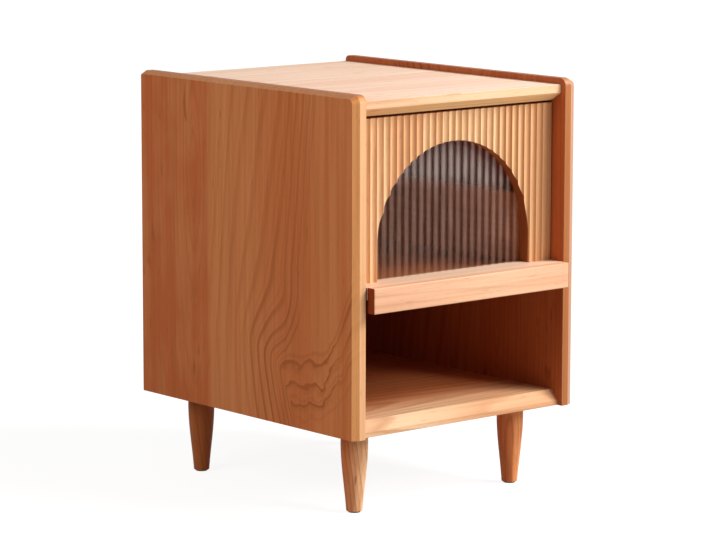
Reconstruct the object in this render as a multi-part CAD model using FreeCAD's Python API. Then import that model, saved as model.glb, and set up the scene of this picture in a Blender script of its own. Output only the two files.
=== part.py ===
import FreeCAD, Part
import math
import os

# Nightstand with one drawer over an open compartment, on four turned legs.
# Millimetres. The front faces -Y, +X is to the right, +Z is up.
# The origin is on the floor, under the middle of the whole object.

V = FreeCAD.Vector

# Cabinet
cabinet_width = 350.0
side_depth = 410.0
cabinet_top = 500.0
leg_length = 100.0

# Side panels: the outer arris is bevelled along the front, the top and the back
side_thickness = 18.0
side_corner_radius = 10.0
side_back_radius = 6.0
side_bevel_width = 8.5
side_bevel_depth = 4.2
arris_radius = 0.8

# Top panel, let in between the sides, with a bevel under its front edge
top_drop = 7.5
top_thickness = 20.0
top_recess = 7.5
top_bevel_height = 10.0
top_bevel_depth = 16.0

# Bottom panel, which is the shelf, with a bevel over its front edge
bottom_thickness = 18.5
bottom_recess = 7.5
bottom_bevel_height = 12.5
bottom_bevel_depth = 11.3

# Back panel, in a rebate round the back of the cabinet
back_thickness = 9.0
rebate_width = 9.0
rebate_play = 0.4

# Cabinet dowels
dowel_diameter = 8.0
dowel_cover = 6.0
dowel_in_panel = 18.0
dowel_inset = 45.0
dowels_per_joint = 4
dowel_chamfer = 0.8

# Legs
leg_top_diameter = 31.6
leg_knee_diameter = 31.2
leg_knee_share = 0.64
leg_foot_diameter = 19.4
leg_foot_radius = 1.2
leg_inset_side = 50.0
leg_inset_front = 58.0
leg_inset_back = 57.0
hanger_diameter = 8.0
hanger_in_leg = 34.0
insert_diameter = 12.0
insert_cover = 5.0
glide_diameter = 15.0
glide_thickness = 1.5
glide_pin_diameter = 2.0
glide_pin_length = 12.0

# Drawer front: a fluted panel with an arched opening, standing on a sill with a hanging lip
niche_height = 129.5
lip_height = 30.0
lip_thickness = 12.0
lip_gap = 2.5
lip_arris_radius = 1.2
sill_thickness = 14.5
sill_gap = 1.0
drawer_setback = 22.2
drawer_top_gap = 3.0
drawer_side_gap = 1.2
front_thickness = 20.0
flute_pitch = 10.13
flute_depth = 3.0
flute_land = 0.6
arch_shoulder = 12.3
arch_crown = 35.0
arch_leg = 36.5

# Reeded glass pane behind the arch, with its beads
glass_thickness = 5.0
glass_lap = 7.0
glass_play = 0.3
reed_pitch = 11.5
reed_depth = 1.9
bead_thickness = 5.0
bead_setback = 1.0
bead_land = 4.0
bead_play = 0.5
pin_diameter = 1.4
pin_depth = 6.0
pins_per_bead = 3
pin_end_distance = 15.0

# Drawer box
drawer_rear_space = 47.5
drawer_side_thickness = 12.0
drawer_side_height = 100.0
drawer_side_drop = 5.5
drawer_side_arris = 2.0
drawer_back_thickness = 12.0
drawer_back_step = 12.0
drawer_bottom_thickness = 6.0
groove_depth = 6.0
groove_play = 0.2
drawer_dowel_diameter = 6.0
drawer_dowel_cover = 5.0
drawer_dowel_in_side = 18.0
drawer_dowel_end_distance = 16.0
drawer_dowels_per_side = 3
lip_dowel_cover = 4.0
lip_dowel_in_sill = 14.0
lip_dowel_end_distance = 30.0
lip_dowel_count = 4

# Ball-bearing slides with three rails a side
slide_thickness = 12.7
slide_height = 45.0
slide_rise = 40.0
slide_setback = 3.0
slide_rear_margin = 7.0
rail_sheet = 1.2
rail_lip = 2.2
rail_play = 0.4
ball_diameter = 3.2
ball_play = 0.3
ball_count = 6
cage_sheet = 0.8
cage_end_play = 20.0
ball_row_offset = 2.2

# Screws
screw_fit = 0.1
screw_recess_width = 0.9
screw_recess_depth = 1.1
back_screw_diameter = 3.5
back_screw_head = 7.0
back_screw_hold = 16.0
back_screws_per_side = 4
back_screws_per_end = 3
back_screw_end_distance = 30.0
rail_screw_diameter = 3.5
rail_screw_head = 6.6
rail_screw_end_distance = 35.0
rail_screw_count = 3
cabinet_screw_cover = 5.0
drawer_screw_cover = 2.4
sill_screw_diameter = 4.0
sill_screw_head = 8.0
sill_screw_hold = 30.0
drawer_back_screw_diameter = 4.0
drawer_back_screw_head = 8.0
drawer_back_screw_hold = 24.0
drawer_back_screw_end_distance = 12.0
bottom_screw_diameter = 3.0
bottom_screw_head = 6.0
bottom_screw_hold = 13.0
bottom_screw_end_distance = 30.0
drawer_screw_count = 3

# Fit of pins, bolts and dowels in their holes
hole_fit = 0.1
hole_end_play = 0.5
cut_over = 1.0

# Places that follow from the sizes
half_width = cabinet_width / 2
inner_half = half_width - side_thickness
overall_depth = side_depth + lip_thickness
front_y = lip_thickness - overall_depth / 2
back_y = overall_depth / 2
back_face_y = back_y - back_thickness
top_z = cabinet_top - top_drop
top_under_z = top_z - top_thickness
shelf_z = leg_length + bottom_thickness
lip_bottom_z = shelf_z + niche_height
sill_top_z = lip_bottom_z + lip_height
sill_under_z = sill_top_z - sill_thickness

drawer_face_y = front_y + drawer_setback
drawer_rear_face_y = drawer_face_y + front_thickness
front_half = inner_half - drawer_side_gap
front_top_z = top_under_z - drawer_top_gap
box_outer_half = inner_half - slide_thickness
box_inner_half = box_outer_half - drawer_side_thickness
box_end_y = back_face_y - drawer_rear_space
box_bottom_z = sill_under_z - drawer_side_drop
box_top_z = box_bottom_z + drawer_side_height
box_back_top_z = box_top_z - drawer_back_step
box_middle_x = (box_outer_half + box_inner_half) / 2
bottom_low_z = (sill_under_z + sill_top_z - drawer_bottom_thickness) / 2
bottom_high_z = bottom_low_z + drawer_bottom_thickness

arch_half = box_inner_half - arch_shoulder
arch_apex_z = front_top_z - arch_crown
arch_spring_z = sill_top_z + arch_leg
pane_half = arch_half + glass_lap
pane_top_z = arch_apex_z + glass_lap
pane_seat_y = drawer_rear_face_y - glass_thickness - glass_play
bead_inner_x = arch_half + bead_setback
bead_outer_x = box_inner_half - bead_play
bead_top_z = pane_top_z + glass_play + bead_land

slide_front_y = drawer_rear_face_y + slide_setback
slide_length = box_end_y - slide_rear_margin - slide_front_y
slide_z = box_bottom_z + slide_rise


def spread(first, last, count):
    """Evenly spaced places from first to last."""
    return [first + (last - first) * i / (count - 1) for i in range(count)]


def box(x0, x1, y0, y1, z0, z1):
    return Part.makeBox(x1 - x0, y1 - y0, z1 - z0, V(x0, y0, z0))


def prism(points, along):
    """A closed outline of corner points, pushed along a vector."""
    face = Part.Face(Part.makePolygon(points + points[:1]))
    return face.extrude(along)


def turned(profile, start, along):
    """A solid of revolution from (radius, distance) points, about the line from start along a direction."""
    corners = [V(radius, 0, distance) for radius, distance in profile]
    face = Part.Face(Part.makePolygon(corners + corners[:1]))
    solid = face.revolve(V(0, 0, 0), V(0, 0, 1), 360)
    solid.Placement = FreeCAD.Placement(start, FreeCAD.Rotation(V(0, 0, 1), along))
    return solid


def mirrored(shape):
    return shape.mirror(V(0, 0, 0), V(1, 0, 0))


def cut_all(shape, tools):
    return shape.cut(Part.Compound(tools)) if tools else shape


def long_edges(shape, axis, places):
    """Straight edges along X, Y or Z (0, 1 or 2) that run through the given places in the other two."""
    others = [i for i in range(3) if i != axis]
    found = []
    for edge in shape.Edges:
        ends = [vertex.Point for vertex in edge.Vertexes]
        if len(ends) == 2 and abs(ends[0][axis] - ends[1][axis]) > edge.Length * 0.999:
            for place in places:
                if all(abs(ends[0][i] - p) < 1e-4 for i, p in zip(others, place)):
                    found.append(edge)
    return found


def dowel(diameter, start, along, length):
    radius = diameter / 2
    shoulder = radius - dowel_chamfer
    profile = [(0, 0), (shoulder, 0), (radius, dowel_chamfer), (radius, length - dowel_chamfer),
               (shoulder, length), (0, length)]
    return turned(profile, start, along)


def round_hole(diameter, start, along, depth):
    """A blind hole from a face, a little deeper than what goes into it."""
    radius = diameter / 2 + hole_fit
    return Part.makeCylinder(radius, depth + hole_end_play + cut_over, start - along * cut_over, along)


def screw(diameter, head, length, start, along):
    """A countersunk screw whose head is flush at start, with a cross recess."""
    shank = diameter / 2
    rim = head / 2
    cone = rim - shank
    point = diameter
    solid = turned([(0, 0), (rim, 0), (shank, cone), (shank, length - point), (0, length)], V(), V(0, 0, 1))
    arm = rim * 1.1
    for x, y in ((arm, screw_recess_width), (screw_recess_width, arm)):
        solid = solid.cut(box(-x / 2, x / 2, -y / 2, y / 2, -cut_over, screw_recess_depth))
    solid.Placement = FreeCAD.Placement(start, FreeCAD.Rotation(V(0, 0, 1), along))
    return solid


def screw_hole(diameter, head, length, start, along):
    """The hole that a countersunk screw sits in."""
    shank = diameter / 2 + screw_fit
    rim = head / 2 + screw_fit
    cone = rim - shank
    end = length + hole_end_play
    profile = [(0, -cut_over), (rim, -cut_over), (rim, 0), (shank, cone), (shank, end), (0, end)]
    return turned(profile, start, along)


# Where the dowels and screws are: each entry is a start point, a direction and what the maker needs

LEFT_RIGHT = (-1, 1)


def cabinet_dowel_places():
    """Starts at the end faces of the top and bottom panels, with the outward direction."""
    rows = spread(front_y + dowel_inset, back_y - dowel_inset, dowels_per_joint)
    heights = (top_z - top_thickness / 2, leg_length + bottom_thickness / 2)
    return [(V(side * inner_half, y, z), V(side, 0, 0)) for side in LEFT_RIGHT for z in heights for y in rows]


def back_screw_places():
    side_x = inner_half + rebate_width / 2
    end_x = inner_half - back_screw_end_distance
    low = shelf_z + back_screw_end_distance
    high = top_under_z - back_screw_end_distance
    heights = spread(low, high, back_screws_per_side)
    places = [V(side * side_x, back_y, z) for side in LEFT_RIGHT for z in heights]
    for z in (shelf_z - rebate_width / 2, top_under_z + rebate_width / 2):
        places += [V(x, back_y, z) for x in spread(-end_x, end_x, back_screws_per_end)]
    return places


def leg_places():
    """The four leg axes by name."""
    x = half_width - leg_inset_side
    rows = {"front": front_y + leg_inset_front, "back": back_y - leg_inset_back}
    sides = {"left": -x, "right": x}
    return {f"{row}_{side}": (sides[side], rows[row]) for row in rows for side in sides}


def rail_screw_rows():
    return spread(slide_front_y + rail_screw_end_distance,
                  slide_front_y + slide_length - rail_screw_end_distance, rail_screw_count)


cabinet_screw_length = rail_sheet + side_thickness - cabinet_screw_cover
drawer_screw_length = rail_sheet + drawer_side_thickness - drawer_screw_cover
back_screw_length = back_thickness + back_screw_hold
sill_screw_length = sill_thickness + sill_screw_hold
drawer_back_screw_length = drawer_side_thickness + drawer_back_screw_hold
bottom_screw_length = drawer_bottom_thickness + bottom_screw_hold
dowel_in_side = side_thickness - dowel_cover
drawer_dowel_in_front = front_thickness - flute_depth - drawer_dowel_cover
lip_dowel_in_lip = lip_thickness - lip_dowel_cover
insert_length = bottom_thickness - insert_cover


def back_screws(maker):
    return [maker(back_screw_diameter, back_screw_head, back_screw_length, place, V(0, -1, 0))
            for place in back_screw_places()]


def cabinet_rail_screws(maker, side):
    x = side * (inner_half - rail_sheet)
    return [maker(rail_screw_diameter, rail_screw_head, cabinet_screw_length, V(x, y, slide_z), V(side, 0, 0))
            for y in rail_screw_rows()]


def drawer_rail_screws(maker, side):
    x = side * (box_outer_half + rail_sheet)
    return [maker(rail_screw_diameter, rail_screw_head, drawer_screw_length, V(x, y, slide_z), V(-side, 0, 0))
            for y in rail_screw_rows()]


def sill_screws(maker):
    """Two screws up through the sill into each foot of the fluted panel."""
    quarter = (front_half - arch_half) / 4
    y = drawer_face_y + front_thickness / 2
    places = [V(side * x, y, sill_under_z)
              for side in LEFT_RIGHT for x in (arch_half + quarter, front_half - quarter)]
    return [maker(sill_screw_diameter, sill_screw_head, sill_screw_length, place, V(0, 0, 1))
            for place in places]


def drawer_back_screws(maker, side):
    """Screws through a drawer side into the end of the drawer back, above the slide."""
    y = box_end_y - drawer_back_thickness / 2
    rail_top = slide_z + slide_height / 2
    low = rail_top + drawer_back_screw_end_distance
    high = box_back_top_z - drawer_back_screw_end_distance
    heights = spread(low, high, drawer_screw_count)
    return [maker(drawer_back_screw_diameter, drawer_back_screw_head, drawer_back_screw_length,
                  V(side * box_outer_half, y, z), V(-side, 0, 0)) for z in heights]


def bottom_screws(maker):
    y = box_end_y - drawer_back_thickness / 2
    end_x = box_inner_half - bottom_screw_end_distance
    places = [V(x, y, bottom_low_z) for x in spread(-end_x, end_x, drawer_screw_count)]
    return [maker(bottom_screw_diameter, bottom_screw_head, bottom_screw_length, place, V(0, 0, 1))
            for place in places]


def drawer_dowel_places():
    """Starts at the joint between the fluted panel and the drawer sides."""
    heights = spread(sill_top_z + drawer_dowel_end_distance, box_top_z - drawer_dowel_end_distance,
                     drawer_dowels_per_side)
    return [V(side * box_middle_x, drawer_rear_face_y, z) for side in LEFT_RIGHT for z in heights]


def lip_dowel_places():
    end_x = inner_half - lip_dowel_end_distance
    z = (sill_top_z + sill_under_z) / 2
    return [V(x, front_y, z) for x in spread(-end_x, end_x, lip_dowel_count)]


# Cabinet

def back_rebate():
    x = inner_half + rebate_width
    return box(-x, x, back_face_y, back_y + cut_over, shelf_z - rebate_width, top_under_z + rebate_width)


def side_outline(x, inset):
    """Side elevation with rounded top corners, drawn in from the front, top and back by inset."""
    front = front_y + inset
    back = back_y - inset
    top = cabinet_top - inset
    front_radius = side_corner_radius - inset
    back_radius = side_back_radius - inset
    front_slant = front_radius * (1 - math.sqrt(0.5))
    back_slant = back_radius * (1 - math.sqrt(0.5))
    low_front = V(x, front, leg_length)
    high_front = V(x, front, top - front_radius)
    top_front = V(x, front + front_radius, top)
    top_back = V(x, back - back_radius, top)
    high_back = V(x, back, top - back_radius)
    low_back = V(x, back, leg_length)
    edges = [
        Part.LineSegment(low_front, high_front),
        Part.Arc(high_front, V(x, front + front_slant, top - front_slant), top_front),
        Part.LineSegment(top_front, top_back),
        Part.Arc(top_back, V(x, back - back_slant, top - back_slant), high_back),
        Part.LineSegment(high_back, low_back),
        Part.LineSegment(low_back, low_front),
    ]
    return Part.Wire([edge.toShape() for edge in edges])


def side_panel_right():
    bevel_x = half_width - side_bevel_width
    core = Part.Face(side_outline(inner_half, 0)).extrude(V(bevel_x - inner_half, 0, 0))
    bevel = Part.makeLoft([side_outline(bevel_x, 0), side_outline(half_width, side_bevel_depth)], True, True)
    panel = core.fuse(bevel).removeSplitter()
    corner_z = cabinet_top - side_corner_radius
    arris = [edge for edge in panel.Edges
             if all(abs(vertex.X - inner_half) < 1e-4 for vertex in edge.Vertexes)
             and edge.CenterOfMass.y < back_y - side_back_radius
             and (edge.CenterOfMass.z > corner_z or edge.CenterOfMass.y < front_y + 1e-4)]
    panel = panel.makeFillet(arris_radius, arris)
    cuts = [back_rebate()]
    cuts += [round_hole(dowel_diameter, start, along, dowel_in_side)
             for start, along in cabinet_dowel_places() if along.x > 0]
    cuts += back_screws(screw_hole)
    cuts += cabinet_rail_screws(screw_hole, 1)
    return cut_all(panel, cuts)


def end_dowel_holes():
    """Dowel holes in the ends of the top and bottom panels."""
    return [round_hole(dowel_diameter, start, -along, dowel_in_panel)
            for start, along in cabinet_dowel_places()]


def top_panel():
    front = front_y + top_recess
    knee_z = top_under_z + top_bevel_height
    outline = [(front, top_z), (front, knee_z), (front + top_bevel_depth, top_under_z),
               (back_y, top_under_z), (back_y, top_z)]
    panel = prism([V(-inner_half, y, z) for y, z in outline], V(2 * inner_half, 0, 0))
    panel = panel.makeFillet(arris_radius, long_edges(panel, 0, [(front, top_z), (front, knee_z)]))
    return cut_all(panel, [back_rebate()] + end_dowel_holes() + back_screws(screw_hole))


def bottom_panel():
    front = front_y + bottom_recess
    knee_z = shelf_z - bottom_bevel_height
    outline = [(front, leg_length), (front, knee_z), (front + bottom_bevel_depth, shelf_z),
               (back_y, shelf_z), (back_y, leg_length)]
    panel = prism([V(-inner_half, y, z) for y, z in outline], V(2 * inner_half, 0, 0))
    panel = panel.makeFillet(arris_radius, long_edges(panel, 0, [(front, leg_length), (front, knee_z)]))
    cuts = [back_rebate()] + end_dowel_holes() + back_screws(screw_hole)
    cuts += [round_hole(insert_diameter, V(x, y, leg_length), V(0, 0, 1), insert_length)
             for x, y in leg_places().values()]
    return cut_all(panel, cuts)


def back_panel():
    x = inner_half + rebate_width - rebate_play
    low = shelf_z - rebate_width + rebate_play
    high = top_under_z + rebate_width - rebate_play
    return cut_all(box(-x, x, back_face_y, back_y, low, high), back_screws(screw_hole))


def cabinet_dowels():
    length = dowel_in_side + dowel_in_panel
    return [dowel(dowel_diameter, start - along * dowel_in_panel, along, length)
            for start, along in cabinet_dowel_places()]


# Legs

def leg(x, y):
    """Turned leg: nearly straight down to its knee, then a straight taper to a rounded foot."""
    top = leg_top_diameter / 2
    foot = leg_foot_diameter / 2
    low = glide_thickness
    slant = leg_foot_radius * (1 - math.sqrt(0.5))
    flat = V(foot - leg_foot_radius, 0, low)
    side = V(foot, 0, low + leg_foot_radius)
    knee = V(leg_knee_diameter / 2, 0, leg_length * leg_knee_share)
    outline = Part.BSplineCurve()
    outline.interpolate(Points=[side, (side + knee) * 0.5, knee, V(top, 0, leg_length)])
    edges = [
        Part.LineSegment(V(0, 0, low), flat),
        Part.Arc(flat, V(foot - slant, 0, low + slant), side),
        outline,
        Part.LineSegment(V(top, 0, leg_length), V(0, 0, leg_length)),
        Part.LineSegment(V(0, 0, leg_length), V(0, 0, low)),
    ]
    face = Part.Face(Part.Wire([edge.toShape() for edge in edges]))
    solid = face.revolve(V(0, 0, 0), V(0, 0, 1), 360)
    holes = [
        round_hole(hanger_diameter, V(0, 0, leg_length), V(0, 0, -1), hanger_in_leg),
        round_hole(glide_pin_diameter, V(0, 0, low), V(0, 0, 1), glide_pin_length),
    ]
    solid = cut_all(solid, holes)
    solid.translate(V(x, y, 0))
    return solid


def hanger_bolt(x, y):
    start = V(x, y, leg_length - hanger_in_leg)
    return dowel(hanger_diameter, start, V(0, 0, 1), hanger_in_leg + insert_length - hole_end_play)


def insert_nut(x, y):
    """Threaded insert in the bottom panel, open at its lower end."""
    start = V(x, y, leg_length)
    body = Part.makeCylinder(insert_diameter / 2, insert_length, start)
    return body.cut(round_hole(hanger_diameter, start, V(0, 0, 1), insert_length - hole_end_play))


def glide(x, y):
    disc = glide_diameter / 2
    pin = glide_pin_diameter / 2
    edge = glide_thickness / 4
    end = glide_thickness + glide_pin_length
    profile = [(0, 0), (disc - edge, 0), (disc, edge), (disc, glide_thickness), (pin, glide_thickness),
               (pin, end), (0, end)]
    return turned(profile, V(x, y, 0), V(0, 0, 1))


# Drawer

def arch_cut():
    """The arched opening, open at its foot."""
    y = drawer_face_y - cut_over
    low = sill_top_z - cut_over
    left_foot = V(-arch_half, y, low)
    left_spring = V(-arch_half, y, arch_spring_z)
    right_spring = V(arch_half, y, arch_spring_z)
    right_foot = V(arch_half, y, low)
    edges = [
        Part.LineSegment(left_foot, left_spring),
        Part.Arc(left_spring, V(0, y, arch_apex_z), right_spring),
        Part.LineSegment(right_spring, right_foot),
        Part.LineSegment(right_foot, left_foot),
    ]
    face = Part.Face(Part.Wire([edge.toShape() for edge in edges]))
    return face.extrude(V(0, front_thickness + 2 * cut_over, 0))


def bead_pin_places():
    """Starts on the rear of the beads, outside the pane."""
    x = (pane_half + glass_play + bead_outer_x) / 2
    z = pane_top_z + glass_play + bead_land / 2
    y = drawer_rear_face_y + bead_thickness
    heights = spread(sill_top_z + pin_end_distance, bead_top_z - pin_end_distance, pins_per_bead)
    end_x = bead_inner_x - pin_end_distance
    places = [V(side * x, y, height) for side in LEFT_RIGHT for height in heights]
    return places + [V(along, y, z) for along in spread(-end_x, end_x, pins_per_bead)]


def bead_pins():
    length = bead_thickness + pin_depth
    return [Part.makeCylinder(pin_diameter / 2, length, place, V(0, -1, 0)) for place in bead_pin_places()]


def bead_pin_holes():
    return [round_hole(pin_diameter, place, V(0, -1, 0), bead_thickness + pin_depth)
            for place in bead_pin_places()]


def fluted_board():
    """A board with upright hollow flutes, narrow ridges between them and a plain margin at each edge."""
    per_side = math.floor(front_half / flute_pitch)
    half_hollow = (flute_pitch - flute_land) / 2
    low_z = sill_top_z
    edges = []
    last = V(-front_half, drawer_face_y, low_z)
    for i in range(-per_side, per_side):
        middle = (i + 0.5) * flute_pitch
        start = V(middle - half_hollow, drawer_face_y, low_z)
        end = V(middle + half_hollow, drawer_face_y, low_z)
        edges.append(Part.LineSegment(last, start))
        edges.append(Part.Arc(start, V(middle, drawer_face_y + flute_depth, low_z), end))
        last = end
    corners = [last, V(front_half, drawer_face_y, low_z), V(front_half, drawer_rear_face_y, low_z),
               V(-front_half, drawer_rear_face_y, low_z), V(-front_half, drawer_face_y, low_z)]
    edges += [Part.LineSegment(a, b) for a, b in zip(corners, corners[1:])]
    face = Part.Face(Part.Wire([edge.toShape() for edge in edges]))
    return face.extrude(V(0, 0, front_top_z - low_z))


def fluted_front():
    panel = fluted_board()
    rebate_half = pane_half + glass_play
    rebate = box(-rebate_half, rebate_half, pane_seat_y, drawer_rear_face_y + cut_over,
                 sill_top_z - cut_over, pane_top_z + glass_play)
    cuts = [arch_cut(), rebate] + sill_screws(screw_hole) + bead_pin_holes()
    cuts += [round_hole(drawer_dowel_diameter, place, V(0, -1, 0), drawer_dowel_in_front)
             for place in drawer_dowel_places()]
    for cut in cuts:
        panel = panel.cut(cut)
    return panel


def glass_pane():
    """A pane whose front is upright rounded reeds, with half a reed at each edge."""
    face_y = pane_seat_y + glass_play / 2
    rear_y = face_y + glass_thickness
    low_z = sill_top_z
    count = max(2, round(2 * pane_half / reed_pitch))
    step = 2 * pane_half / count
    radius = (step * step / 4 + reed_depth * reed_depth) / (2 * reed_depth)

    def front(x, crest):
        return V(x, face_y + radius - math.sqrt(radius * radius - (x - crest) ** 2), low_z)

    edges = []
    for i in range(count + 1):
        crest = -pane_half + i * step
        left = max(crest - step / 2, -pane_half)
        right = min(crest + step / 2, pane_half)
        middle = front((left + right) / 2, crest)
        edges.append(Part.Arc(front(left, crest), middle, front(right, crest)))
    corners = [V(pane_half, face_y, low_z), V(pane_half, rear_y, low_z), V(-pane_half, rear_y, low_z),
               V(-pane_half, face_y, low_z)]
    edges += [Part.LineSegment(a, b) for a, b in zip(corners, corners[1:])]
    face = Part.Face(Part.Wire([edge.toShape() for edge in edges]))
    return face.extrude(V(0, 0, pane_top_z - low_z))


def glass_bead_right():
    bead = box(bead_inner_x, bead_outer_x, drawer_rear_face_y, drawer_rear_face_y + bead_thickness,
               sill_top_z, bead_top_z)
    return cut_all(bead, bead_pin_holes())


def glass_bead_top():
    bead = box(-bead_inner_x, bead_inner_x, drawer_rear_face_y, drawer_rear_face_y + bead_thickness,
               arch_apex_z + bead_setback, bead_top_z)
    return cut_all(bead, bead_pin_holes())


def drawer_sill():
    x = inner_half - sill_gap
    sill = box(-x, x, front_y, drawer_rear_face_y, sill_under_z, sill_top_z)
    groove_half = box_inner_half + groove_depth
    groove = box(-groove_half, groove_half, drawer_rear_face_y - groove_depth, drawer_rear_face_y + cut_over,
                 bottom_low_z - groove_play, bottom_high_z + groove_play)
    cuts = [groove] + sill_screws(screw_hole)
    cuts += [round_hole(drawer_dowel_diameter, place, V(0, 1, 0), lip_dowel_in_sill)
             for place in lip_dowel_places()]
    return cut_all(sill, cuts)


def pull_lip():
    x = inner_half - lip_gap
    face_y = front_y - lip_thickness
    lip = box(-x, x, face_y, front_y, lip_bottom_z, sill_top_z)
    edges = long_edges(lip, 0, [(face_y, lip_bottom_z), (face_y, sill_top_z), (front_y, lip_bottom_z)])
    edges += long_edges(lip, 2, [(-x, face_y), (x, face_y)])
    lip = lip.makeFillet(lip_arris_radius, edges)
    return cut_all(lip, [round_hole(drawer_dowel_diameter, place, V(0, -1, 0), lip_dowel_in_lip)
                         for place in lip_dowel_places()])


def lip_dowels():
    length = lip_dowel_in_lip + lip_dowel_in_sill
    return [dowel(drawer_dowel_diameter, place - V(0, lip_dowel_in_lip, 0), V(0, 1, 0), length)
            for place in lip_dowel_places()]


def front_dowels():
    length = drawer_dowel_in_front + drawer_dowel_in_side
    return [dowel(drawer_dowel_diameter, place - V(0, drawer_dowel_in_front, 0), V(0, 1, 0), length)
            for place in drawer_dowel_places()]


def drawer_side_right():
    side = box(box_inner_half, box_outer_half, drawer_rear_face_y, box_end_y, box_bottom_z, box_top_z)
    side = side.makeFillet(drawer_side_arris, long_edges(side, 1, [(box_inner_half, box_top_z),
                                                                   (box_outer_half, box_top_z)]))
    groove = box(box_inner_half - cut_over, box_inner_half + groove_depth, drawer_rear_face_y - cut_over,
                 box_end_y + cut_over, bottom_low_z - groove_play, bottom_high_z + groove_play)
    cuts = [groove] + drawer_rail_screws(screw_hole, 1) + drawer_back_screws(screw_hole, 1)
    cuts += [round_hole(drawer_dowel_diameter, place, V(0, 1, 0), drawer_dowel_in_side)
             for place in drawer_dowel_places()]
    return cut_all(side, cuts)


def drawer_back():
    back = box(-box_inner_half, box_inner_half, box_end_y - drawer_back_thickness, box_end_y,
               bottom_high_z, box_back_top_z)
    holes = bottom_screws(screw_hole)
    for side in LEFT_RIGHT:
        holes += drawer_back_screws(screw_hole, side)
    return cut_all(back, holes)


def drawer_bottom():
    x = box_inner_half + groove_depth - groove_play
    y = drawer_rear_face_y - groove_depth + groove_play
    bottom = box(-x, x, y, box_end_y, bottom_low_z, bottom_high_z)
    return cut_all(bottom, bottom_screws(screw_hole))


# Slides, drawn for the right side: u runs from the cabinet wall to the drawer, w is height from the middle

cabinet_rail_half = slide_height / 2
middle_rail_half = cabinet_rail_half - rail_sheet - ball_diameter - 2 * ball_play
drawer_rail_half = middle_rail_half - rail_sheet - ball_diameter - 2 * ball_play
outer_row_w = cabinet_rail_half - rail_sheet - ball_play - ball_diameter / 2
inner_row_w = middle_rail_half - rail_sheet - ball_play - ball_diameter / 2
outer_cage_u = rail_sheet + rail_play
middle_rail_u = outer_cage_u + cage_sheet + rail_play
inner_cage_u = middle_rail_u + rail_sheet + rail_play
drawer_rail_u = inner_cage_u + cage_sheet + rail_play
outer_ball_u = outer_cage_u + cage_sheet + ball_row_offset
inner_ball_u = inner_cage_u + cage_sheet + ball_row_offset
cage_tip = (ball_diameter + cage_sheet) / 2
cabinet_rail_tip_u = outer_ball_u + cage_tip + rail_play + rail_sheet
middle_rail_tip_u = inner_ball_u + cage_tip + rail_play + rail_sheet
cage_length = slide_length / 2 - cage_end_play
cage_front_y = slide_front_y + (slide_length - cage_length) / 2


def slide_prism(outline, y, length):
    return prism([V(inner_half - u, y, slide_z + w) for u, w in outline], V(0, length, 0))


def channel(web_u, tip_u, half, lip):
    """A rail of folded sheet: a web, two flanges and their turned-in lips."""
    inward = rail_sheet if tip_u > web_u else -rail_sheet
    inner = half - rail_sheet
    upper = [(web_u, half), (tip_u, half), (tip_u, inner - lip), (tip_u - inward, inner - lip),
             (tip_u - inward, inner), (web_u + inward, inner)]
    lower = [(u, -w) for u, w in reversed(upper)]
    return slide_prism(upper + lower, slide_front_y, slide_length)


def cabinet_rail_right():
    rail = channel(0, cabinet_rail_tip_u, cabinet_rail_half, rail_lip)
    return cut_all(rail, cabinet_rail_screws(screw_hole, 1))


def middle_rail_right():
    return channel(middle_rail_u, middle_rail_tip_u, middle_rail_half, rail_lip)


def drawer_rail_right():
    rail = channel(slide_thickness, drawer_rail_u, drawer_rail_half, rail_lip)
    return cut_all(rail, drawer_rail_screws(screw_hole, 1))


def ball_places(ball_u, row_w):
    margin = ball_diameter * 2
    rows = spread(cage_front_y + margin, cage_front_y + cage_length - margin, ball_count)
    return [V(inner_half - ball_u, y, slide_z + w) for w in (-row_w, row_w) for y in rows]


def ball_cage_right(web_u, ball_u, row_w):
    """A folded strip with a row of ball pockets in each flange."""
    tip_u = ball_u + cage_tip
    outer = row_w + cage_sheet / 2
    inner = row_w - cage_sheet / 2
    upper = [(web_u, outer), (tip_u, outer), (tip_u, inner), (web_u + cage_sheet, inner)]
    lower = [(u, -w) for u, w in reversed(upper)]
    cage = slide_prism(upper + lower, cage_front_y, cage_length)
    radius = ball_diameter / 2 + hole_fit
    return cut_all(cage, [Part.makeCylinder(radius, 2 * ball_diameter, place - V(0, 0, ball_diameter))
                          for place in ball_places(ball_u, row_w)])


def balls_right(ball_u, row_w):
    return [Part.makeSphere(ball_diameter / 2, place) for place in ball_places(ball_u, row_w)]


# All pieces by name

nodes = {
    "top_panel": top_panel(),
    "bottom_panel": bottom_panel(),
    "back_panel": back_panel(),
    "back_panel_screws": back_screws(screw),
    "cabinet_dowels": cabinet_dowels(),
    "leg_hanger_bolts": [hanger_bolt(x, y) for x, y in leg_places().values()],
    "leg_insert_nuts": [insert_nut(x, y) for x, y in leg_places().values()],
    "leg_glides": [glide(x, y) for x, y in leg_places().values()],
    "fluted_front": fluted_front(),
    "reeded_glass": glass_pane(),
    "glass_bead_top": glass_bead_top(),
    "glass_bead_pins": bead_pins(),
    "drawer_sill": drawer_sill(),
    "sill_screws": sill_screws(screw),
    "pull_lip": pull_lip(),
    "pull_lip_dowels": lip_dowels(),
    "drawer_front_dowels": front_dowels(),
    "drawer_back": drawer_back(),
    "drawer_bottom": drawer_bottom(),
    "drawer_bottom_screws": bottom_screws(screw),
}
for name, (x, y) in leg_places().items():
    nodes[f"leg_{name}"] = leg(x, y)

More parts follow.
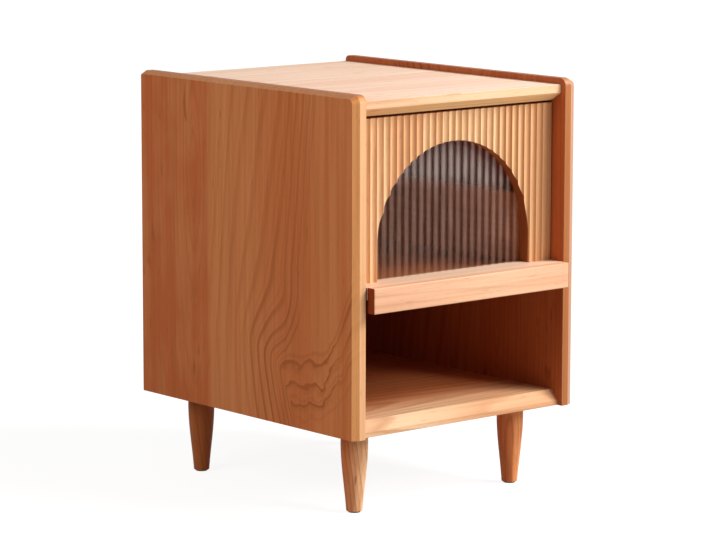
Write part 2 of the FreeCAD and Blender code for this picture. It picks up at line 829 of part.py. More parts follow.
pairs = {
    "side_panel": side_panel_right(),
    "glass_bead": glass_bead_right(),
    "drawer_side": drawer_side_right(),
    "slide_cabinet_rail": cabinet_rail_right(),
    "slide_middle_rail": middle_rail_right(),
    "slide_drawer_rail": drawer_rail_right(),
    "slide_outer_cage": ball_cage_right(outer_cage_u, outer_ball_u, outer_row_w),
    "slide_inner_cage": ball_cage_right(inner_cage_u, inner_ball_u, inner_row_w),
    "slide_outer_balls": Part.Compound(balls_right(outer_ball_u, outer_row_w)),
    "slide_inner_balls": Part.Compound(balls_right(inner_ball_u, inner_row_w)),
}
for name, shape in pairs.items():
    nodes[f"{name}_right"] = shape
    nodes[f"{name}_left"] = mirrored(shape)

both_sides = {
    "slide_cabinet_screws": cabinet_rail_screws,
    "slide_drawer_screws": drawer_rail_screws,
    "drawer_back_screws": drawer_back_screws,
}
for name, places in both_sides.items():
    nodes[name] = places(screw, -1) + places(screw, 1)

os.makedirs("parts", exist_ok=True)
for name, shape in nodes.items():
    piece = Part.Compound(shape) if isinstance(shape, list) else shape
    piece.exportStep(f"parts/{name}.step")
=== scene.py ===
import collections
import math

import bpy
from mathutils import Matrix, Vector


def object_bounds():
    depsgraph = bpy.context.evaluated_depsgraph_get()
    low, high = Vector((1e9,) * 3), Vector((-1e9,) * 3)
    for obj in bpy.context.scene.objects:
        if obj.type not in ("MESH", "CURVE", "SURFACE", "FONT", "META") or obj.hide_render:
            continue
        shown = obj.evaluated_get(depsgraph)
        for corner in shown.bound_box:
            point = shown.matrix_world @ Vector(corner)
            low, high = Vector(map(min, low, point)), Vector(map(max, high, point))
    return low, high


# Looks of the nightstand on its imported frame: cherry wood, reeded glass, slide hardware, light and camera.
# Metres. The front faces -Y, +X is to the right, +Z is up, and the floor is at zero.

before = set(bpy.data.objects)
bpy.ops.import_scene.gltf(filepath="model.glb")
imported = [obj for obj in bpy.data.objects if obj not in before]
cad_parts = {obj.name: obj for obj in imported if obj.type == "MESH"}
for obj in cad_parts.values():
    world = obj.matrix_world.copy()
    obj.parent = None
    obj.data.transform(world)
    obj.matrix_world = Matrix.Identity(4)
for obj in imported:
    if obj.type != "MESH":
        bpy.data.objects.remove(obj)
cad_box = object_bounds()

# Camera at the photograph's angle: it looks towards +X and +Y, a little down
camera_lens = 161.18
camera_sensor = 36.0
camera_azimuth = math.radians(40.362)
camera_pitch = math.radians(8.920)
camera_roll = math.radians(0.126)
camera_distance = 3.9323
camera_aim = Vector((0.0008, 0.0011, 0.2590))

# Light: a key lamp from the front right, a lower one nearer the front, one from the left, and a dim room
Lamp = collections.namedtuple("Lamp", "azimuth elevation distance width height power colour")
LAMPS = {
    "key_lamp": Lamp(45.0, 39.0, 2.6, 1.0, 1.0, 71.0, (1.0, 0.97, 0.93)),
    "low_lamp": Lamp(20.0, 24.0, 2.8, 0.6, 0.6, 28.0, (1.0, 0.97, 0.93)),
    "left_lamp": Lamp(-88.0, 30.0, 2.8, 1.4, 1.4, 24.0, (1.0, 0.95, 0.90)),
}
room_strength = 0.20
room_colour = (1.0, 0.97, 0.94)
shown_strength = 1.0
shown_colour = (1.0, 1.0, 1.0)

# Floor, which shows white to the camera apart from the object's shadow
floor_half = 14.0
floor_drop = 0.0004
floor_bounce = (0.50, 0.49, 0.48)
floor_shade = (0.22, 0.22, 0.22)
floor_glow_near = 0.90
floor_glow_far = 1.0
floor_glow_reach = (0.5, 1.8)

# Tones of wood, as linear colours: the ground and the blush of its patches
Tone = collections.namedtuple("Tone", "ground blush")
# Side panel tones by facing: the left outer face and bevel are darker and redder than the front edge, and the
# right inner face is darker, as painted shade
SIDE_TONE = Tone((0.685, 0.259, 0.090), (0.560, 0.138, 0.037))
DARK_SIDE_TONE = Tone((0.54, 0.205, 0.074), (0.48, 0.155, 0.050))
INNER_TONE = Tone((0.50, 0.142, 0.046), (0.48, 0.117, 0.035))
LEFT_INNER_TONE = Tone((0.66, 0.235, 0.080), (0.62, 0.200, 0.065))
EDGE_TONE = Tone((0.80, 0.475, 0.257), (0.78, 0.43, 0.223))
BEVEL_TONE = Tone((0.73, 0.340, 0.130), (0.69, 0.30, 0.11))
TOP_BEVEL_TONE = Tone((0.54, 0.235, 0.092), (0.51, 0.200, 0.07))
DARK_EDGE_TONE = Tone((0.43, 0.170, 0.058), (0.41, 0.150, 0.050))
DARK_BEVEL_TONE = Tone((0.51, 0.30, 0.205), (0.49, 0.27, 0.18))
END_TONE = Tone((0.36, 0.135, 0.075), (0.33, 0.115, 0.06))
# The lip's and sill's ends: dark end grain, darkened further as painted shade
END_GRAIN_AND_SHADE_TONE = Tone((0.26, 0.045, 0.012), (0.24, 0.038, 0.010))
# The top face's pale tone is partly painted reflection; the underside's pale tone is painted light
TOP_TONE = Tone((0.92, 0.695, 0.565), (0.88, 0.60, 0.465))
RIM_TONE = Tone((0.86, 0.57, 0.365), (0.84, 0.53, 0.33))
UNDER_TONE = Tone((0.96, 0.64, 0.335), (0.94, 0.59, 0.300))
FRONT_TONE = Tone((0.85, 0.545, 0.310), (0.72, 0.345, 0.162))
# The arch edge's darker tone is painted shade
SHADED_ARCH_TONE = Tone((0.47, 0.150, 0.055), (0.44, 0.13, 0.045))
SILL_TONE = Tone((0.85, 0.64, 0.49), (0.83, 0.58, 0.43))
LIP_TONE = Tone((0.83, 0.50, 0.325), (0.81, 0.435, 0.28))
SHELF_TONE = Tone((0.82, 0.55, 0.345), (0.72, 0.38, 0.205))
# The shelf's darker, redder tone away from its front is painted shade
SHADED_SHELF_TONE = Tone((0.69, 0.245, 0.094), (0.67, 0.210, 0.076))
BOX_TONE = Tone((0.76, 0.32, 0.130), (0.73, 0.28, 0.105))
PLY_TONE = Tone((0.62, 0.31, 0.150), (0.59, 0.27, 0.125))
# The drawer floor's tone is darkened as painted shade inside the drawer
DRAWER_FLOOR_TONE = Tone((0.40, 0.140, 0.052), (0.38, 0.120, 0.043))
DOWEL_TONE = Tone((0.66, 0.46, 0.26), (0.64, 0.42, 0.23))
LINE_SHARE = (0.58, 0.41, 0.27)
PORE_SHARE = (0.45, 0.32, 0.22)

# The log that a board is cut from: its heart at (across, depth), the spacing of its rings, how far they drift
# to the metre along the grain, how far they wander, and how strong their lines are
Log = collections.namedtuple("Log", "heart spacing rise wander contrast")
FRONT_LOG = Log((0.21, 0.12), 0.0042, 0.03, 0.012, 0.45)
TOP_LOG = Log((0.30, 0.44), 0.0070, 0.015, 0.030, 0.45)
SHELF_LOG = Log((-0.12, 0.06), 0.0075, 0.05, 0.030, 0.85)
DOWEL_LOG = Log((0.3, 0.3), 0.0065, 0.02, 0.020, 0.55)
BACK_LOG = Log((0.03, 0.26), 0.0080, 0.06, 0.030, 0.55)
LIP_LOG = Log((0.20, -0.11), 0.0060, 0.02, 0.016, 0.32)
SILL_LOG = Log((-0.05, 0.20), 0.0060, 0.02, 0.016, 0.45)
BOX_SIDE_LOG = Log((0.38, 0.0), 0.0070, 0.03, 0.020, 0.45)
BOX_BACK_LOG = Log((0.36, 0.10), 0.0070, 0.03, 0.020, 0.45)
UPRIGHT_BEAD_LOG = Log((0.0, -0.10), 0.0050, 0.03, 0.010, 0.40)
LEVEL_BEAD_LOG = Log((0.50, -0.10), 0.0050, 0.03, 0.010, 0.40)
DRAWER_FLOOR_LOG = Log((0.02, 0.36), 0.0080, 0.06, 0.030, 0.45)

# Plain boards: the axes along and across their grain, a seed, a tone, a log, and a tone for ends that differ
Board = collections.namedtuple("Board", "along across seed tone log ends", defaults=(None,))
BOARDS = {
    "cherry_back": Board("Z", "X", 12.0, PLY_TONE, BACK_LOG),
    "cherry_lip": Board("X", "Z", 23.0, LIP_TONE, LIP_LOG, END_GRAIN_AND_SHADE_TONE),
    "cherry_sill": Board("X", "Y", 25.0, SILL_TONE, SILL_LOG, END_GRAIN_AND_SHADE_TONE),
    "drawer_side": Board("Y", "Z", 27.0, BOX_TONE, BOX_SIDE_LOG),
    "drawer_back": Board("X", "Z", 29.0, BOX_TONE, BOX_BACK_LOG),
    "bead_upright": Board("Z", "X", 31.0, BOX_TONE, UPRIGHT_BEAD_LOG),
    "bead_level": Board("X", "Z", 33.0, BOX_TONE, LEVEL_BEAD_LOG),
    "drawer_floor": Board("X", "Y", 35.0, DRAWER_FLOOR_TONE, DRAWER_FLOOR_LOG),
}
DOWEL_AXES = {"cabinet_dowels": ("X", "Y"), "pull_lip_dowels": ("Y", "X"), "drawer_front_dowels": ("Y", "X")}

# Seeds of the other woods
left_side_seed = 1.0
right_side_seed = 4.0
top_seed = 7.0
shelf_seed = 9.0
leg_seed = 15.0
front_seed = 20.0
dowel_seed = 51.0
seed_step = (1.37, 2.71, 0.83)

# Legs: where the axis stands, the heart of the log, and the tones of heartwood and sapwood
Leg = collections.namedtuple("Leg", "axis heart tone")
LEGS = {
    "front_left": Leg((-0.125, -0.141), (-0.19, -0.10), Tone((0.57, 0.170, 0.052), (0.89, 0.53, 0.29))),
    "front_right": Leg((0.125, -0.141), (0.06, -0.20), Tone((0.63, 0.166, 0.050), (0.82, 0.33, 0.13))),
    # The back legs' tones are darker, with hardly paler sapwood: painted shade under the cabinet
    "back_left": Leg((-0.125, 0.154), (-0.19, 0.22), Tone((0.47, 0.142, 0.042), (0.45, 0.130, 0.038))),
    "back_right": Leg((0.125, 0.154), (0.07, 0.25), Tone((0.56, 0.200, 0.074), (0.62, 0.240, 0.095))),
}
leg_spacing = 0.0050
leg_rise = 0.10
leg_wander = 0.012
leg_contrast = 0.55
sapwood = (-0.011, 0.009)
sapwood_rightwards = 0.77
sapwood_forwards = 0.64
sapwood_waves = (60.0, 9.0)
sapwood_ragged = 0.008

# Marks in wood: waves to the metre across and along the grain, the noise's detail, the part of its range over
# which the marks rise, and their least and most
Marks = collections.namedtuple("Marks", "across along detail low high least most", defaults=(0.0, 1.0))
STREAKS = Marks(230.0, 4.0, 3.0, 0.42, 0.75, 0.0, 0.42)
FLECKS = Marks(210.0, 26.0, 1.0, 0.70, 0.78, 0.0, 0.50)
TICKS = Marks(1500.0, 85.0, 1.0, 0.66, 0.76, 0.0, 0.45)
BOARD_PATCHES = Marks(11.0, 2.5, 2.0, 0.38, 0.68)
TOP_PATCHES = Marks(14.0, 2.5, 2.0, 0.40, 0.70)
FRONT_PATCHES = Marks(55.0, 3.0, 2.0, 0.50, 0.78)

# Rings: how their lines waver, and how strong the weakest and the strongest line is
ring_sway = (7.0, 1.8)
ring_ripple = (30.0, 7.0)
ring_ripple_share = 0.22
ring_strength = (0.25, 1.0)

# How a ring of late wood darkens along its width: slowly to a line, then at once to the next ring
BOLD_PROFILE = ((0.0, 0.0), (0.25, 0.06), (0.58, 0.26), (0.80, 1.0), (0.92, 0.8), (1.0, 0.0))
CORE_PROFILE = ((0.0, 0.05), (0.50, 0.10), (0.80, 0.32), (0.91, 1.0), (0.97, 1.0), (1.0, 0.05))
LINE_PROFILE = ((0.0, 0.0), (0.25, 0.05), (0.60, 0.35), (0.84, 1.0), (0.94, 0.6), (1.0, 0.0))

# Gloss and relief of oiled wood
noise_range = (0.3, 0.7)
fibre_waves = (900.0, 14.0)
fibre_detail = 3.0
line_depth = 0.35
grain_relief = 0.30
grain_depth = 0.00010
wood_roughness = (0.42, 0.58)
top_roughness = (0.66, 0.80)
wood_specular = 0.12

# How far a normal leans, from where a face starts to count as turned that way to where it counts in full
end_lean = (0.78, 0.92)
rim_lean = (0.7, 0.4)
under_lean = (-0.4, -0.7)
arch_lean = (0.30, 0.12)
wall_lean = (-0.15, -0.75)
inner_lean = (0.6, 0.9)
bevel_lean = (0.60, 0.80)
flat_lean = (0.92, 0.98)

# Fluted front: strips a few flutes wide, and painted shade towards the right end, where the flute sides that
# face left are darkened and the wood reddens, each as the places where that starts and ends and the strengths
# there
strip_width = 0.0507
strip_tones = (0.35, 1.0, 0.0, 0.60)
strip_rings = 3.3
painted_side_shade_reach = (0.02, 0.09, 0.0, 0.70)
painted_right_end_shade = (0.05, 0.14, 0.0, 0.60)

# Top and shelf: the top's painted shade at its left end, and where the shelf turns redder and darker as
# painted shade
painted_left_end_shade = (-0.157, -0.09, 0.9, 0.0)
painted_shelf_shade = (-0.170, -0.090)

# The figure of a side panel, measured across it from its middle to the back, and up from the floor.
# The right panel has the left one's figure turned over: a place and its twin add up to these.
mirror_across = 0.02
mirror_along = 0.585
panel_sway = (6.0, 1.7)
panel_sway_size = 0.016
panel_ripple = (40.0, 9.0)
panel_ripple_size = 0.0040
back_joint = 0.072
joint_blur = 0.006

# Its flanks: upright lines in front of the joint, which bend over the core
flank_start = -0.0768
flank_reach = 0.069
flank_count = 8.0
flank_power = 0.6
flank_round = 0.4
bend_low = (0.162, 0.195)
bend_reach = (0.095, 0.130)
bend_spread = (-0.075, 0.0)
bend_shift = 0.050
bend_round = 0.012
bend_fade = (-0.070, 0.030, 1.0, 0.20)
foot_lean = 0.30
lean_start = 0.29
lean = 0.11

# Its core: wavy arches low in front
core_foot = 0.103
core_spacing = 0.024
core_tilt = 0.16
core_width = 0.078
core_slope = 1.05
core_round = 0.03
core_plateau = 3.4
core_plateau_round = 0.8
core_spread = 12.0
core_edge = 0.012
core_end = (-0.168, -0.150)
core_weight = (0.65, 2.0)
core_crown = (0.205, 0.240, 1.0, 0.0)
core_wavelength = 0.036
core_bends = (16.0, 34.0)
core_bend_size = 14.0
core_wave = 0.0050
CORE_DEPTH = Marks(28.0, 45.0, 2.0, 0.35, 0.65, 0.3 * core_wave, 1.2 * core_wave)
core_calm = (0.180, 0.215, 1.0, 0.2)
core_roll = (22.0, 20.0)
core_roll_size = 0.020
core_ripple = 1.5

# Its spindle: long closed rings behind the joint
spindle_centre = (0.101, 0.390)
spindle_aspect = 1 / 7.5
spindle_spacing = 0.0072
spindle_sway = 0.5

# How strong its lines are, and how its blush is spread before and behind the joint
WORN = Marks(30.0, 6.0, 2.0, 0.30, 0.60, 0.60, 1.0)
bold_weight = (0.60, 1.25)
bold_fade = (0.24, 0.36, 1.0, 0.60)
fine_rings = 2.0
fine_shift = 0.4
fine_contrast = 0.55
calm_reach = (-0.045, 0.025)
calm_share = (0.24, 0.34, 0.32, 0.60)
edge_contrast = 0.15
GUM = Marks(75.0, 20.0, 1.0, 0.68, 0.76, 0.0, 0.9)
DRIFT = Marks(8.0, 2.2, 2.0, 0.36, 0.66)
BANDS = Marks(55.0, 1.5, 2.0, 0.38, 0.62)
CLOUDS = Marks(24.0, 12.0, 2.0, 0.36, 0.64)
least_blush = 0.4
blush_before = (-0.06, 0.03, 0.72, 0.27)
blush_behind = (0.3, 1.9, 0.35, 1.15)

# Glass: rolled glass is clearest on the crown of a reed and hazy about the furrow between two
reed_width = 0.254 / 22
REED_HAZE = ((0.0, 0.06), (0.10, 0.0), (0.36, 0.32), (0.60, 1.0), (0.70, 0.75), (0.84, 0.20), (1.0, 0.06))
reed_haze = 0.55
reed_haze_share = (0.8, 1.2)
reed_back = -0.1585
# Above a slanting line the pane is hazier and greyer: a painted reflection
painted_reflection_haze = 2.0
crown_line = 0.384
crown_fall = 0.138
crown_blur = 0.010
# The pane's foot is darker: painted shade
foot_reach = (0.277, 0.312)
GLASS_TONE = (0.90, 0.63, 0.52)
PAINTED_REFLECTION_TONE = (0.90, 0.76, 0.72)
FOOT_SHADE_TONE = (0.60, 0.37, 0.31)
glass_waves = (120.0, 120.0, 30.0)
glass_shift = (3.0, 5.0, 7.0)
glass_roughness = (0.02, 0.06)
glass_relief = 0.06
glass_depth = 0.0004
glass_ior = 1.50
glass_tint = (0.06, 0.06, 0.06, 1.0)
glass_alpha = 0.40

# Metals, brushed along the drawer's travel where brushed is above 1
Metal = collections.namedtuple("Metal", "colour roughness brushed seed")
METALS = {
    "zinc_rail": Metal((0.70, 0.71, 0.72), 0.34, 12.0, 41.0),
    "strip_steel": Metal((0.52, 0.52, 0.51), 0.42, 6.0, 43.0),
    "polished_steel": Metal((0.78, 0.78, 0.78), 0.12, 1.0, 45.0),
    "zinc_screw": Metal((0.66, 0.65, 0.61), 0.36, 1.0, 47.0),
    "brass_insert": Metal((0.72, 0.53, 0.24), 0.32, 1.0, 49.0),
}
metal_seed_step = (1.0, 1.7, 2.3)
metal_waves = 700.0
metal_detail = 3.0
metal_bloom = 45.0
metal_bloom_span = (0.40, 0.75, 0.0, 0.6)
metal_dullness = 0.72
metal_roughness_share = (0.75, 1.25)
metal_relief = 0.25
metal_depth = 0.00005

# Moulded nylon
NYLON_TONES = ((0.075, 0.042, 0.024), (0.055, 0.030, 0.017))
nylon_waves = (2400.0, 2400.0, 2400.0)
nylon_shift = (1.0, 2.0, 3.0)
nylon_roughness = (0.45, 0.60)
nylon_relief = 0.3
nylon_depth = 0.00008


class Graph:
    """Node tree of one material, with short calls for the nodes that the finishes are made of."""

    def __init__(self, name):
        self.material = bpy.data.materials.new(name)
        self.material.use_nodes = True
        self.tree = self.material.node_tree
        self.tree.nodes.clear()
        self.shader = self.add("ShaderNodeBsdfPrincipled")
        output = self.add("ShaderNodeOutputMaterial")
        self.link(self.shader.outputs["BSDF"], output.inputs["Surface"])

    def add(self, kind, **settings):
        node = self.tree.nodes.new(kind)
        for name, value in settings.items():
            setattr(node, name, value)
        return node

    def link(self, source, socket):
        self.tree.links.new(source, socket)

    def feed(self, socket, value):
        """Links another node's output to a socket, or sets the socket's own value."""
        if isinstance(value, bpy.types.NodeSocket):
            self.link(value, socket)
        else:
            socket.default_value = value

    def surface(self, values):
        """Feeds the shader's sockets by name."""
        for name, value in values.items():
            self.feed(self.shader.inputs[name], value)

    def math(self, operation, *values):
        node = self.add("ShaderNodeMath", operation=operation)
        for socket, value in zip(node.inputs, values):
            self.feed(socket, value)
        return node.outputs["Value"]

    def joined(self, operation, values):
        """One number from several, taken two at a time."""
        result = values[0]
        for value in values[1:]:
            result = self.math(operation, result, value)
        return result

    def plus(self, *values):
        return self.joined("ADD", values)

    def times(self, *values):
        return self.joined("MULTIPLY", values)

    def most(self, *values):
        return self.joined("MAXIMUM", values)

    def minus(self, first, second):
        return self.math("SUBTRACT", first, second)

    def distance(self, first, second):
        """Length of the long side of a right triangle."""
        return self.math("SQRT", self.plus(self.times(first, first), self.times(second, second)))

    def combine(self, x, y, z):
        node = self.add("ShaderNodeCombineXYZ")
        for socket, value in zip(node.inputs, (x, y, z)):
            self.feed(socket, value)
        return node.outputs["Vector"]

    def separate(self, vector):
        node = self.add("ShaderNodeSeparateXYZ")
        self.link(vector, node.inputs["Vector"])
        return tuple(node.outputs)

    def object_place(self):
        return self.add("ShaderNodeTexCoord").outputs["Object"]

    def normal(self):
        return self.add("ShaderNodeNewGeometry").outputs["Normal"]

    def scaled(self, vector, scale, shift):
        node = self.add("ShaderNodeVectorMath", operation="MULTIPLY_ADD")
        for socket, value in zip(node.inputs, (vector, scale, shift)):
            self.feed(socket, value)
        return node.outputs["Vector"]

    def noise(self, vector, detail):
        node = self.add("ShaderNodeTexNoise")
        self.feed(node.inputs["Vector"], vector)
        self.feed(node.inputs["Scale"], 1.0)
        self.feed(node.inputs["Detail"], detail)
        self.feed(node.inputs["Roughness"], 0.5)
        return node.outputs["Fac"]

    def chance(self, value):
        """A random number for each whole number."""
        node = self.add("ShaderNodeTexWhiteNoise", noise_dimensions="1D")
        self.feed(node.inputs["W"], value)
        return node.outputs["Value"]

    def span(self, value, low, high, to_low=0.0, to_high=1.0):
        """A number that goes from to_low to to_high while the value goes from low to high."""
        node = self.add("ShaderNodeMapRange", interpolation_type="LINEAR", clamp=True)
        for name, number in (("Value", value), ("From Min", low), ("From Max", high),
                             ("To Min", to_low), ("To Max", to_high)):
            self.feed(node.inputs[name], number)
        return node.outputs["Result"]

    def curve(self, value, stops):
        """A grey value read from (place, level) stops."""
        node = self.add("ShaderNodeValToRGB")
        self.link(value, node.inputs["Fac"])
        elements = node.color_ramp.elements
        while len(elements) < len(stops):
            elements.new(0.5)
        for element, (place, level) in zip(elements, stops):
            element.position = place
            element.color = (level, level, level, 1.0)
        return node.outputs["Color"]

    def pick(self, factor, first, second):
        """A number between two numbers."""
        node = self.add("ShaderNodeMix", data_type="FLOAT")
        sockets = (node.inputs[0], node.inputs[2], node.inputs[3])
        for socket, value in zip(sockets, (factor, first, second)):
            self.feed(socket, value)
        return node.outputs[0]

    def mix(self, factor, first, second):
        """A colour between two colours."""
        node = self.add("ShaderNodeMix", data_type="RGBA")
        sockets = (node.inputs[0], node.inputs[6], node.inputs[7])
        for socket, value in zip(sockets, (factor, first, second)):
            self.feed(socket, value + (1.0,) if isinstance(value, tuple) else value)
        return node.outputs[2]

    def bump(self, height, strength, distance):
        node = self.add("ShaderNodeBump")
        self.feed(node.inputs["Height"], height)
        self.feed(node.inputs["Strength"], strength)
        self.feed(node.inputs["Distance"], distance)
        return node.outputs["Normal"]


# Wood

class Grain:
    """Where a point lies in its board: across it, into it and along its grain."""

    def __init__(self, graph, along, across, seed):
        place = dict(zip("XYZ", graph.separate(graph.object_place())))
        depth = next(axis for axis in "XYZ" if axis not in (along, across))
        self.graph = graph
        self.across = place[across]
        self.depth = place[depth]
        self.along = place[along]
        self.vector = graph.combine(self.across, self.depth, self.along)
        self.shift = tuple(seed * step for step in seed_step)

    def noise(self, across, along, detail=2.0):
        """Noise with so many waves to the metre across and along the grain."""
        graph = self.graph
        return graph.noise(graph.scaled(self.vector, (across, across, along), self.shift), detail)

    def sway(self, waves, size):
        """Noise about zero."""
        graph = self.graph
        return graph.times(graph.minus(self.noise(*waves), 0.5), size)

    def marks(self, kind):
        noise = self.noise(kind.across, kind.along, kind.detail)
        return self.graph.span(noise, kind.low, kind.high, kind.least, kind.most)


def log_rings(grain, log):
    """Ring count in a board that is cut from a log."""
    graph = grain.graph
    sideways = graph.minus(grain.across, log.heart[0])
    inwards = graph.minus(grain.depth, log.heart[1])
    radius = graph.distance(sideways, inwards)
    sway = grain.sway(ring_sway, log.wander)
    ripple = grain.sway(ring_ripple, log.wander * ring_ripple_share)
    drift = graph.times(grain.along, log.rise)
    return graph.times(graph.plus(radius, drift, sway, ripple), 1.0 / log.spacing)


def ring_lines(graph, count):
    """Late-wood lines of a ring count, some stronger than others."""
    line = graph.curve(graph.math("FRACT", count), LINE_PROFILE)
    chance = graph.chance(graph.math("FLOOR", count))
    return graph.times(line, graph.span(chance, 0.0, 1.0, *ring_strength))


def log_lines(grain, log):
    return grain.graph.times(ring_lines(grain.graph, log_rings(grain, log)), log.contrast)


def shaded(colour, share):
    return tuple(part * lower for part, lower in zip(colour, share))


def wood_colour(grain, tone, lines, blush):
    """A tone with its patches, lines, streaks and pores."""
    graph = grain.graph
    line = shaded(tone.ground, LINE_SHARE)
    colour = graph.mix(blush, tone.ground, tone.blush)
    colour = graph.mix(lines, colour, line)
    colour = graph.mix(grain.marks(STREAKS), colour, line)
    pores = graph.most(grain.marks(FLECKS), grain.marks(TICKS))
    return graph.mix(pores, colour, shaded(tone.ground, PORE_SHARE))


def overlaid(grain, share, colour, tone, lines, blush):
    """A colour that gives way to wood of another tone where share is 1."""
    return grain.graph.mix(share, colour, wood_colour(grain, tone, lines, blush))


def wood_surface(grain, colour, lines, roughness=wood_roughness):
    """Satin oiled wood: fibres show in the gloss and, very slightly, in the relief."""
    graph = grain.graph
    fibre = grain.noise(*fibre_waves, fibre_detail)
    height = graph.minus(fibre, graph.times(lines, line_depth))
    graph.surface({
        "Base Color": colour,
        "Roughness": graph.span(fibre, *noise_range, *roughness),
        "Specular IOR Level": wood_specular,
        "Normal": graph.bump(height, grain_relief, grain_depth),
    })
    return graph.material


def end_share(graph, along):
    """1 where a board is cut across its grain."""
    facing = dict(zip("XYZ", graph.separate(graph.normal())))[along]
    return graph.span(graph.math("ABSOLUTE", facing), *end_lean)


def plain_wood(name, board):
    """A board with the grain of one log, and ends of another tone where they are given."""
    graph = Graph(name)
    grain = Grain(graph, board.along, board.across, board.seed)
    lines = log_lines(grain, board.log)
    blush = grain.marks(BOARD_PATCHES)
    colour = wood_colour(grain, board.tone, lines, blush)
    if board.ends:
        colour = overlaid(grain, end_share(graph, board.along), colour, board.ends, lines, blush)
    return wood_surface(grain, colour, lines)


def leg_wood(name, seed, leg):
    """A turned leg, with sapwood at its front right."""
    graph = Graph(name)
    grain = Grain(graph, "Z", "X", seed)
    lines = log_lines(grain, Log(leg.heart, leg_spacing, leg_rise, leg_wander, leg_contrast))
    ragged = grain.sway(sapwood_waves, sapwood_ragged)
    rightwards = graph.times(graph.minus(grain.across, leg.axis[0]), sapwood_rightwards)
    forwards = graph.times(graph.minus(leg.axis[1], grain.depth), sapwood_forwards)
    sap = graph.span(graph.plus(rightwards, forwards, ragged), *sapwood)
    return wood_surface(grain, wood_colour(grain, leg.tone, lines, sap), lines)


def fluted_wood(name, seed):
    """Upright grain in glued strips of slightly different tone, with an arch edge darkened as painted shade.

    Towards the right end the wood is redder and the flute sides that face left are darker, both as painted
    shade.
    """
    graph = Graph(name)
    grain = Grain(graph, "Z", "X", seed)
    strip = graph.math("FLOOR", graph.times(grain.across, 1.0 / strip_width))
    strip_tone = graph.span(graph.chance(graph.plus(strip, seed + 0.5)), *strip_tones)
    count = graph.plus(log_rings(grain, FRONT_LOG), graph.times(strip, strip_rings))
    facing_x, facing_y = graph.separate(graph.normal())[:2]
    # Flute sides that face left, darker towards the right end: painted shade, fed in with the ring lines
    shaded_flute_sides = graph.times(graph.span(facing_x, *wall_lean), graph.span(grain.across, *painted_side_shade_reach))
    lines = graph.most(graph.times(ring_lines(graph, count), FRONT_LOG.contrast), shaded_flute_sides)
    # Redder towards the right end: painted shade
    blush = graph.most(strip_tone, grain.marks(FRONT_PATCHES), graph.span(grain.across, *painted_right_end_shade))
    # The arch's faces get a darker tone: painted shade
    cut = graph.span(graph.math("ABSOLUTE", facing_y), *arch_lean)
    colour = wood_colour(grain, FRONT_TONE, lines, blush)
    colour = overlaid(grain, cut, colour, SHADED_ARCH_TONE, lines, blush)
    return wood_surface(grain, colour, lines)


def top_wood(name, seed):
    """The top board, redder at its left end as painted shade, with a rim and an underside of other tones: the
    top face's pale tone is partly painted reflection, and the underside's pale tone is painted light.
    """
    graph = Graph(name)
    grain = Grain(graph, "X", "Y", seed)
    lines = log_lines(grain, TOP_LOG)
    # Redder at the left end: painted shade along the left side panel
    blush = graph.most(grain.marks(TOP_PATCHES), graph.span(grain.along, *painted_left_end_shade))
    facing_z = graph.separate(graph.normal())[2]
    # Pale top face: partly painted reflection. Pale underside: painted light
    colour = wood_colour(grain, TOP_TONE, lines, blush)
    colour = overlaid(grain, graph.span(facing_z, *rim_lean), colour, RIM_TONE, lines, blush)
    colour = overlaid(grain, graph.span(facing_z, *under_lean), colour, UNDER_TONE, lines, blush)
    return wood_surface(grain, colour, lines, top_roughness)


def shelf_wood(name, seed):
    """The shelf, darker and redder away from its front edge as painted shade."""
    graph = Graph(name)
    grain = Grain(graph, "X", "Y", seed)
    lines = log_lines(grain, SHELF_LOG)
    blush = grain.marks(BOARD_PATCHES)
    # Darker and redder away from the front edge: painted shade
    shade_share = graph.span(grain.across, *painted_shelf_shade)
    colour = wood_colour(grain, SHELF_TONE, lines, blush)
    colour = overlaid(grain, shade_share, colour, SHADED_SHELF_TONE, lines, blush)
    return wood_surface(grain, colour, lines)


# Side panels

def core_rings(grain, across, along, ripple):
    """Wavy arches low in the panel, which climb steeply towards the front edge and part there."""
    graph = grain.graph
    ahead = graph.minus(flank_start, across)
    bends = graph.times(grain.noise(*core_bends), core_bend_size)
    phase = graph.plus(graph.times(across, 2 * math.pi / core_wavelength), bends)
    wave = graph.times(graph.math("SINE", phase), grain.marks(CORE_DEPTH))
    wave = graph.plus(wave, grain.sway(core_roll, core_roll_size))
    wave = graph.times(wave, graph.span(along, *core_calm))
    beyond = graph.math("SMOOTH_MAX", graph.minus(ahead, core_width), 0.0, core_round)
    climb = graph.plus(graph.times(ahead, core_tilt), graph.times(beyond, core_slope))
    height = graph.plus(graph.minus(along, core_foot), wave, graph.times(ripple, core_ripple))
    spacing = graph.times(graph.plus(graph.times(beyond, core_spread), 1.0), core_spacing)
    count = graph.math("DIVIDE", graph.minus(height, climb), spacing)
    return graph.math("SMOOTH_MIN", count, core_plateau, core_plateau_round)


def flank_bend(graph, across, along):
    """How far the flank's lines are shifted as they bend over the core."""
    knee = graph.minus(along, graph.span(across, *bend_spread, *bend_low))
    rounded = graph.math("SQRT", graph.plus(graph.times(knee, knee), bend_round ** 2))
    off_knee = graph.minus(rounded, bend_round)
    short = graph.span(off_knee, 0.0, graph.span(across, *bend_spread, *bend_reach), 1.0, 0.0)
    over = graph.times(graph.minus(1.0, graph.times(short, short)), bend_shift)
    above = graph.math("GREATER_THAN", knee, 0.0)
    bend = graph.pick(above, graph.times(off_knee, foot_lean), over)
    return graph.times(bend, graph.span(across, *bend_fade))


def flank_rings(graph, across, along, sway, ripple):
    """Upright lines, close together at first and wider apart towards the joint."""
    bend = flank_bend(graph, across, along)
    drift = graph.times(graph.most(graph.minus(along, lean_start), 0.0), lean)
    away = graph.plus(graph.minus(across, flank_start), bend, drift, sway, ripple)
    share = graph.times(graph.most(away, 0.0), 1 / flank_reach)
    return graph.times(graph.math("POWER", share, flank_power), flank_count)


